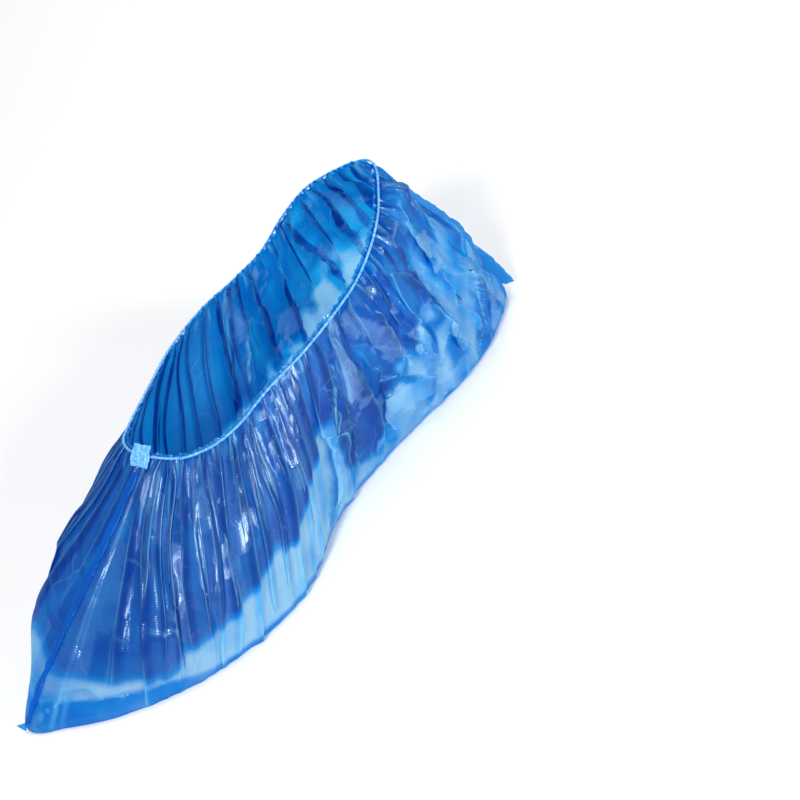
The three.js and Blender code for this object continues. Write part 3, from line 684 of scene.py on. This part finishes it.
def whitened_with_painted_light(depth_of_blue, folds, frost_and_sheen_here):
    """The film's own blue, paler along its folds, partly its own whitening and partly painted highlights, and
    paler as a painted sheen where it is frosted.
    """
    glint_lined_blue = mixed(sums(tree, "MINIMUM", folds, 0.9), blue_ramp(depth_of_blue, BODY_BLUES), FOLD_WHITE_AND_GLINT_BLUE)
    return mixed(sums(tree, "MULTIPLY", frost_and_sheen_here, 0.44), glint_lined_blue, FROST_AND_SHEEN_BLUE)


# the crease lines and the frosted specks, which are painted pale as highlights and sheen
crease_glint_lines = sums(tree, "ADD", folded, sums(tree, "MULTIPLY", pressed.outputs["Crease Glint"], 0.35))
speckled_sheen = sums(tree, "MULTIPLY", frosting_and_sheen, pressed.outputs["Speckle"])
through = add_node(tree, "ShaderNodeBsdfTransparent", {"Color": blue_ramp(density, THROUGH_BLUES)})
body = add_node(tree, "ShaderNodeBsdfPrincipled", {
    "Base Color": whitened_with_painted_light(mottled.outputs[0], crease_glint_lines, speckled_sheen),
    "Roughness": 0.5, "Specular IOR Level": 0.0, "Normal": raised})
glow = add_node(tree, "ShaderNodeBsdfTranslucent", {
    "Color": whitened_with_painted_light(density, folded, frosting_and_sheen), "Normal": raised})
scatter = add_node(tree, "ShaderNodeMixShader", {0: 0.45, 1: body.outputs[0], 2: glow.outputs[0]})
# where highlights and sheen are painted, the film is also made more solid
thick = sums(tree, "MULTIPLY", sums(tree, "ADD", folded, frosting_and_sheen), 0.30)
solid = add_node(tree, "ShaderNodeMath", {0: spans(tree, density, (0.0, 1.0), (0.64, 0.46)), 1: thick},
                 operation="ADD", use_clamp=True)
sheet_mix = add_node(tree, "ShaderNodeMixShader", {0: solid.outputs[0], 1: through.outputs[0],
                                                   2: scatter.outputs[0]})
edge_on = add_node(tree, "ShaderNodeLayerWeight", {"Blend": 0.5, "Normal": raised})
grazing = sums(tree, "POWER", edge_on.outputs["Facing"], 4.0)
gloss_share = sums(tree, "ADD", spans(tree, grazing, (0.0, 1.0), (0.030, 0.22)),
                   sums(tree, "MULTIPLY", frosting_and_sheen, 0.08))
sharp = add_node(tree, "ShaderNodeBsdfGlossy", {"Roughness": 0.12, "Color": (0.66, 0.86, 1.0, 1),
                                                "Normal": raised})
frosted = add_node(tree, "ShaderNodeBsdfGlossy", {"Roughness": 0.30, "Color": (0.50, 0.78, 1.0, 1),
                                                  "Normal": raised})
gloss = add_node(tree, "ShaderNodeMixShader", {0: 0.5, 1: sharp.outputs[0], 2: frosted.outputs[0]})
final = add_node(tree, "ShaderNodeMixShader", {0: gloss_share, 1: sheet_mix.outputs[0],
                                               2: gloss.outputs[0]})
add_node(tree, "ShaderNodeOutputMaterial", {"Surface": final.outputs[0]})
film_mesh.materials.append(film_shader)
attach(film, "root")
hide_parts("film_body")

# Elastic
# A thin pale rubber thread rolled into the film's hem and welded there at full stretch, so it
# draws the mouth in and the hem ruches tightly along it. It closes on itself under the front tab.
ELASTIC_RADIUS, ELASTIC_GAP = 0.0009, 0.0003
ELASTIC_POINTS = 760
RUCHE_PITCH = 0.0019

cord_rows = np.arange(ELASTIC_POINTS) * ROWS / ELASTIC_POINTS
cord_out = outward(cord_rows, 0.0)
cord_line = mouth_point(cord_rows) + cord_out * (1.25 * ELASTIC_RADIUS + ELASTIC_GAP)
cord_step = np.arange(ELASTIC_POINTS) * 0.0006
uneven = 1.5 * smooth_noise(cord_step, 0 * cord_step, 81, 0.004, 0.012, 6)
ruche = (1 + 0.16 * np.sin(2 * np.pi * cord_step / RUCHE_PITCH + uneven)
         + 0.07 * smooth_noise(cord_step, 0 * cord_step, 82, 0.002, 0.006, 8))
thread = bpy.data.curves.new("elastic", "CURVE")
thread.dimensions = "3D"
thread.bevel_depth = 0.72 * ELASTIC_RADIUS
thread.bevel_resolution = 2
strand = thread.splines.new("POLY")
strand.points.add(ELASTIC_POINTS - 1)
strand.points.foreach_set("co", np.concatenate([cord_line, np.ones((ELASTIC_POINTS, 1))], 1).ravel())
strand.points.foreach_set("radius", ruche)
strand.use_cyclic_u = True
elastic = bpy.data.objects.new("elastic", thread)
bpy.context.collection.objects.link(elastic)
bpy.ops.object.select_all(action="DESELECT")
elastic.select_set(True)
bpy.context.view_layer.objects.active = elastic
bpy.ops.object.convert(target="MESH")
elastic = bpy.context.object
elastic.data.polygons.foreach_set("use_smooth", [True] * len(elastic.data.polygons))

rubber = bpy.data.materials.new("pale_elastic")
rubber.use_nodes = True
nodes, links = rubber.node_tree.nodes, rubber.node_tree.links
skin = nodes["Principled BSDF"]
where = nodes.new("ShaderNodeTexCoord")
flecks = nodes.new("ShaderNodeTexNoise")
flecks.inputs["Scale"].default_value = 700
flecks.inputs["Detail"].default_value = 3
links.new(where.outputs["Object"], flecks.inputs["Vector"])
shades = nodes.new("ShaderNodeValToRGB")
shades.color_ramp.elements[0].position = 0.35
shades.color_ramp.elements[0].color = (0.03, 0.26, 0.70, 1)
shades.color_ramp.elements[1].position = 0.62
shades.color_ramp.elements[1].color = (0.16, 0.50, 0.88, 1)
links.new(flecks.outputs["Fac"], shades.inputs["Fac"])
links.new(shades.outputs["Color"], skin.inputs["Base Color"])
skin.inputs["Roughness"].default_value = 0.38
wrinkle = nodes.new("ShaderNodeBump")
wrinkle.inputs["Strength"].default_value = 0.5
wrinkle.inputs["Distance"].default_value = 0.0003
links.new(flecks.outputs["Fac"], wrinkle.inputs["Height"])
links.new(wrinkle.outputs["Normal"], skin.inputs["Normal"])
elastic.data.materials.append(rubber)
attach(elastic, "root")
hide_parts("elastic_band")

# Front tab
# The ends of the elastic are caught under a small patch of the same film, welded flat and rough
# at the front seam, where it stands a little above the hem and a little askew.
TAB_WIDTH, TAB_HEIGHT, TAB_THICKNESS = 0.011, 0.0105, 0.0008
TAB_TURN = math.radians(16)
TAB_LIFT = 2.25 * ELASTIC_RADIUS + 2 * ELASTIC_GAP + 0.0002

tab_out = Vector(outward(np.array([0.0]), 0.02)[0])
tab_down = Vector(sole_point(0)[0] - mouth_point(0)[0]).normalized()
tab_down = (tab_down - tab_out * tab_down.dot(tab_out)).normalized()
tab_down = Matrix.Rotation(TAB_TURN, 3, tab_out) @ tab_down
tab_across = tab_out.cross(tab_down)
tab_centre = Vector(mouth_point(0)[0]) + tab_out * TAB_LIFT
bpy.ops.object.select_all(action="DESELECT")
bpy.ops.mesh.primitive_grid_add(x_subdivisions=30, y_subdivisions=28, size=1)
tab = bpy.context.object
tab.name = "front_tab_patch"
spots = np.array([v.co for v in tab.data.vertices])
gx, gy = spots[:, 0], spots[:, 1]
torn = 1 + 0.035 * smooth_noise(gy * 10, 0 * gy + 3, 91, 3, 9, 8)
ragged = 1 + 0.05 * smooth_noise(gx * 10, 0 * gx + 7, 92, 3, 9, 8)
taper = 1 - 0.14 * np.abs(gy)
pressed = 0.00035 * smooth_noise(gx * 10, gy * 10, 93, 1.2, 4, 16) - 0.0016 * gy * gy
tab_points = (np.array(tab_centre) + np.outer(gx * torn * taper * TAB_WIDTH, tab_across)
              + np.outer(gy * ragged * TAB_HEIGHT, tab_down) + np.outer(pressed, tab_out))
tab.data.vertices.foreach_set("co", tab_points.ravel())
wall = tab.modifiers.new("welded", "SOLIDIFY")
wall.thickness = TAB_THICKNESS
wall.offset = 0
bpy.ops.object.modifier_apply(modifier="welded")
tab.data.polygons.foreach_set("use_smooth", [True] * len(tab.data.polygons))
bpy.ops.object.mode_set(mode="EDIT")
bpy.ops.mesh.select_all(action="SELECT")
bpy.ops.mesh.normals_make_consistent(inside=False)
bpy.ops.object.mode_set(mode="OBJECT")

patch = bpy.data.materials.new("welded_patch")
patch.use_nodes = True
nodes, links = patch.node_tree.nodes, patch.node_tree.links
skin = nodes["Principled BSDF"]
where = nodes.new("ShaderNodeTexCoord")
mottle = nodes.new("ShaderNodeTexNoise")
mottle.inputs["Scale"].default_value = 900
mottle.inputs["Detail"].default_value = 5
links.new(where.outputs["Object"], mottle.inputs["Vector"])
shades = nodes.new("ShaderNodeValToRGB")
shades.color_ramp.elements[0].position = 0.34
shades.color_ramp.elements[0].color = (0.07, 0.33, 0.80, 1)
shades.color_ramp.elements[1].position = 0.66
shades.color_ramp.elements[1].color = (0.20, 0.55, 0.95, 1)
links.new(mottle.outputs["Fac"], shades.inputs["Fac"])
links.new(shades.outputs["Color"], skin.inputs["Base Color"])
skin.inputs["Roughness"].default_value = 0.55
grain = nodes.new("ShaderNodeBump")
grain.inputs["Strength"].default_value = 0.7
grain.inputs["Distance"].default_value = 0.0005
links.new(mottle.outputs["Fac"], grain.inputs["Height"])
links.new(grain.outputs["Normal"], skin.inputs["Normal"])
tab.data.materials.append(patch)
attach(tab, "root")
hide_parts("front_tab")

# Front seam
# Where the folded sheet is heat sealed at the toe end, its two layers make a flat double strip.
# It lies pressed on the film from the tab to the toe corner and ends there in a small flap.
SEAM_WIDTH, SEAM_THICKNESS = 0.004, 0.0006
SEAM_TOP, SEAM_BOTTOM = 0.060, 0.965
FLAP = Vector((-0.6, -0.25, 0.75)).normalized() * 0.006

bpy.ops.object.select_all(action="DESELECT")
bpy.ops.mesh.primitive_grid_add(x_subdivisions=6, y_subdivisions=120, size=1)
front_seam = bpy.context.object
front_seam.name = "front_seam_strip"
spots = np.array([v.co for v in front_seam.data.vertices])
gx, gy = spots[:, 0], 0.5 - spots[:, 1]
down = SEAM_TOP + (SEAM_BOTTOM - SEAM_TOP) * np.clip(gy / 0.96, 0, 1)
seam_rows = np.zeros(len(gx))
base = place_on_form(seam_rows, down, 0 * gx + 0.0011)
seam_out = unit(blend_form(form_normal, seam_rows, down))
along = unit(place_on_form(seam_rows + 0.3, down, 0 * gx) - place_on_form(seam_rows - 0.3, down, 0 * gx))
tail = np.clip((gy - 0.96) / 0.04, 0, 1)
wide = SEAM_WIDTH * np.interp(gy, [0, 0.12, 0.5, 1], [1.25, 1.1, 1.0, 0.75])
strip = (base + along * (gx * wide * (1 + 0.16 * smooth_noise(gy * 60, 0 * gy, 101, 3, 12)))[:, None]
         + seam_out * (0.0003 * smooth_noise(gy * 150, gx * 4, 102, 4, 14))[:, None])
corner = place_on_form(np.zeros(1), np.ones(1), np.full(1, 0.0006))[0]
root = corner + np.outer(gx + 0.5, base[gy > 0.999][0] - corner)
flap = root * (1 - tail[:, None]) + tail[:, None] * (corner + np.array(FLAP))
strip = np.where(tail[:, None] > 0, flap, strip)
front_seam.data.vertices.foreach_set("co", strip.ravel())
wall = front_seam.modifiers.new("two_layers", "SOLIDIFY")
wall.thickness = SEAM_THICKNESS
wall.offset = 0
bpy.ops.object.modifier_apply(modifier="two_layers")
bpy.ops.object.mode_set(mode="EDIT")
bpy.ops.mesh.select_all(action="SELECT")
bpy.ops.mesh.normals_make_consistent(inside=False)
bpy.ops.object.mode_set(mode="OBJECT")
front_seam.data.polygons.foreach_set("use_smooth", [True] * len(front_seam.data.polygons))

sealed = bpy.data.materials.new("sealed_film")
sealed.use_nodes = True
tree = sealed.node_tree
tree.nodes.clear()
where = add_node(tree, "ShaderNodeTexCoord")
pressed = add_node(tree, "ShaderNodeGroup", node_tree=relief)
tree.links.new(where.outputs["Object"], pressed.inputs["Place"])
pressed.inputs["Crumple"].default_value = 0.5
press = add_node(tree, "ShaderNodeBump", {"Height": pressed.outputs["Bump Height"], "Distance": 1.0,
                                          "Strength": 1.0}).outputs[0]
shades = mixed(pressed.outputs["Mottle"], (0.001, 0.13, 0.60, 1), (0.006, 0.24, 0.74, 1))
clear = add_node(tree, "ShaderNodeBsdfTransparent", {"Color": (0.22, 0.66, 0.92, 1)})
skin = add_node(tree, "ShaderNodeBsdfPrincipled", {"Base Color": shades, "Roughness": 0.22, "Normal": press})
seal_mix = add_node(tree, "ShaderNodeMixShader", {0: 0.32, 1: clear.outputs[0], 2: skin.outputs[0]})
add_node(tree, "ShaderNodeOutputMaterial", {"Surface": seal_mix.outputs[0]})
front_seam.data.materials.append(sealed)
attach(front_seam, "root")
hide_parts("front_seam")

# Heel seam
# The same sealed edge at the heel end, which stands out behind as a narrow double fin. The
# sheet's folded corner sticks out at its foot as a wide soft ear.
HEEL_EAR = 0.0125
FIN_THICKNESS = 0.0005
FIN_ROOT = 0.0006                                 # how far the fin starts inside the film

# down: place between mouth and sole, out: share of HEEL_EAR, lean: how far it bends to +X
FIN = np.array([(0.02, 0.08, 0.0), (0.20, 0.20, 0.0), (0.35, 0.32, 0.0), (0.49, 0.50, 0.0), (0.60, 0.62, 0.1),
                (0.66, 0.62, 0.2), (0.70, 0.46, 0.4), (0.76, 0.66, 0.7), (0.83, 0.95, 1.0), (0.89, 1.12, 1.3),
                (0.94, 0.55, 1.2)])
bpy.ops.object.select_all(action="DESELECT")
bpy.ops.mesh.primitive_grid_add(x_subdivisions=8, y_subdivisions=110, size=1)
heel_seam = bpy.context.object
heel_seam.name = "heel_seam_fin"
spots = np.array([v.co for v in heel_seam.data.vertices])
gx, gy = spots[:, 0] + 0.5, 0.5 - spots[:, 1]
down = FIN[0, 0] + (FIN[-1, 0] - FIN[0, 0]) * gy
out_share, lean = (np.interp(down, FIN[:, 0], FIN[:, c]) for c in (1, 2))
fin_rows = np.full(len(gx), float(HALF))
foot = side_point(fin_rows, down[:, None])
fin_out = outward(fin_rows, down[:, None])
along = unit(side_point(fin_rows - 0.5, down[:, None]) - side_point(fin_rows + 0.5, down[:, None]))
reach = np.maximum(0.0009, out_share * HEEL_EAR)
tip = unit(fin_out + along * lean[:, None] - np.outer(lean, (0, 0, 1)))
ragged = 1 + 0.06 * smooth_noise(gy * 100, 0 * gy, 111, 3, 9)
fin = (foot - fin_out * FIN_ROOT + tip * (gx * reach * ragged)[:, None]
       + along * (gx * 0.0011 * smooth_noise(gy * 100, gx * 3, 112, 5, 22))[:, None])
heel_seam.data.vertices.foreach_set("co", fin.ravel())
wall = heel_seam.modifiers.new("two_layers", "SOLIDIFY")
wall.thickness = FIN_THICKNESS
wall.offset = 0
bpy.ops.object.modifier_apply(modifier="two_layers")
bpy.ops.object.mode_set(mode="EDIT")
bpy.ops.mesh.select_all(action="SELECT")
bpy.ops.mesh.normals_make_consistent(inside=False)
bpy.ops.object.mode_set(mode="OBJECT")
heel_seam.data.polygons.foreach_set("use_smooth", [True] * len(heel_seam.data.polygons))
heel_seam.data.materials.append(sealed)
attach(heel_seam, "root")
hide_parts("heel_seam")

# Studio
# A plain white table top with soft lamps, and the camera high over the toe's left side, where
# the photograph was taken from.
bpy.ops.object.select_all(action="DESELECT")
bpy.ops.mesh.primitive_plane_add(size=6, location=(0, 0, 0))
floor = bpy.context.object
floor.name = "floor"
white = bpy.data.materials.new("white_table")
white.use_nodes = True
paper = white.node_tree.nodes["Principled BSDF"]
paper.inputs["Base Color"].default_value = (0.90, 0.90, 0.90, 1)
paper.inputs["Roughness"].default_value = 0.8
floor.data.materials.append(white)

# name, place, watts, side in metres
LAMPS = [("key", (0.63, -0.90, 1.02), 14, 0.32), ("side", (1.18, 0.42, 0.63), 11, 0.28),
         ("back", (-0.9, 0.9, 1.0), 8, 0.60), ("top", (0.0, 0.1, 1.7), 6, 0.90)]
for name, place_at, energy, size in LAMPS:
    lamp = bpy.data.lights.new(name, "AREA")
    lamp.energy = energy
    lamp.size = size
    holder = bpy.data.objects.new(name, lamp)
    bpy.context.collection.objects.link(holder)
    holder.location = place_at
    holder.rotation_euler = (-Vector(place_at)).to_track_quat("-Z", "Y").to_euler()
world = bpy.data.worlds.new("studio")
bpy.context.scene.world = world
world.use_nodes = True
world.node_tree.nodes["Background"].inputs["Color"].default_value = (1, 1, 1, 1)
world.node_tree.nodes["Background"].inputs["Strength"].default_value = 0.28
bpy.context.scene.view_settings.view_transform = "Standard"

lens = bpy.data.cameras.new("camera")
lens.lens = 70
lens.sensor_width = 36
camera = bpy.data.objects.new("camera", lens)
bpy.context.collection.objects.link(camera)
right_way, up_way = Vector((0.7018, 0.6244, -0.3430)), Vector((-0.2518, 0.6678, 0.7004))
camera.matrix_world = (Matrix.Translation((0.5715, -0.2579, 0.5219))
                       @ Matrix((right_way, up_way, right_way.cross(up_way))).transposed().to_4x4())
bpy.context.scene.camera = camera
